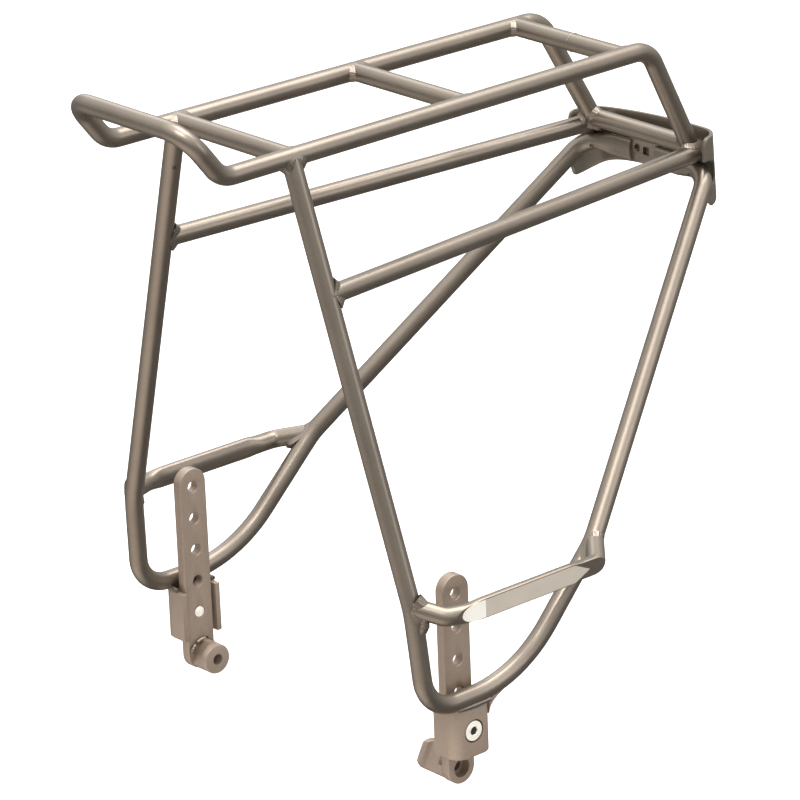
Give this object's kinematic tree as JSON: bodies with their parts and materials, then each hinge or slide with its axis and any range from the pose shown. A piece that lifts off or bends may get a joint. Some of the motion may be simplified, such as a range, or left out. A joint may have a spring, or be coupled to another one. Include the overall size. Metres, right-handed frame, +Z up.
{
  "type": "rear rack",
  "caption": "Tubular rear rack for a bicycle: narrow deck with a raised front loop, bent side frames, side braces, a rear shield and feet that slide to set the height.",
  "frame": {"origin": "midway between the bolt holes in the eyes of the two feet, with the feet fully raised", "axes": "+X to the bicycle's left, along the line through the two eyes; +Y to the rear; +Z up"},
  "size_m": [0.2752, 0.3706, 0.3731],
  "materials": {
    "frame_metal": "warm grey metallic lacquer, smooth and glossy",
    "foot_metal": "warm grey metallic lacquer on flat plate",
    "shield": "darker grey metallic lacquer",
    "zinc": "bright zinc plating"
  },
  "bodies": {
    "frame": {"deck_loop_tube": "frame_metal", "deck_crossbar_front": "frame_metal", "deck_crossbar_middle": "frame_metal", "deck_crossbar_rear": "frame_metal", "rear_cross_tube": "frame_metal", "lower_rail_left": "frame_metal", "lower_rail_right": "frame_metal", "side_leg_left": "frame_metal", "side_leg_right": "frame_metal", "side_brace_left": "frame_metal", "side_brace_right": "frame_metal", "rear_shield": "shield", "lamp_plate": "frame_metal", "foot_bracket_left": "foot_metal", "foot_bracket_right": "foot_metal", "clamp_bolt_left": "zinc", "clamp_bolt_right": "zinc"},
    "foot_left": {"foot_plate_left": "foot_metal", "clamp_nut_left": "zinc", "standoff_left": "foot_metal"},
    "foot_right": {"foot_plate_right": "foot_metal", "clamp_nut_right": "zinc", "standoff_right": "foot_metal"}
  },
  "joints": [
    {"name": "foot_left_slide", "type": "slide", "parent": "frame", "child": "foot_left", "axis": [0, 0, -1], "range_m": [0, 0.0744]},
    {"name": "foot_right_slide", "type": "slide", "parent": "frame", "child": "foot_right", "axis": [0, 0, -1], "range_m": [0, 0.0744]}
  ]
}
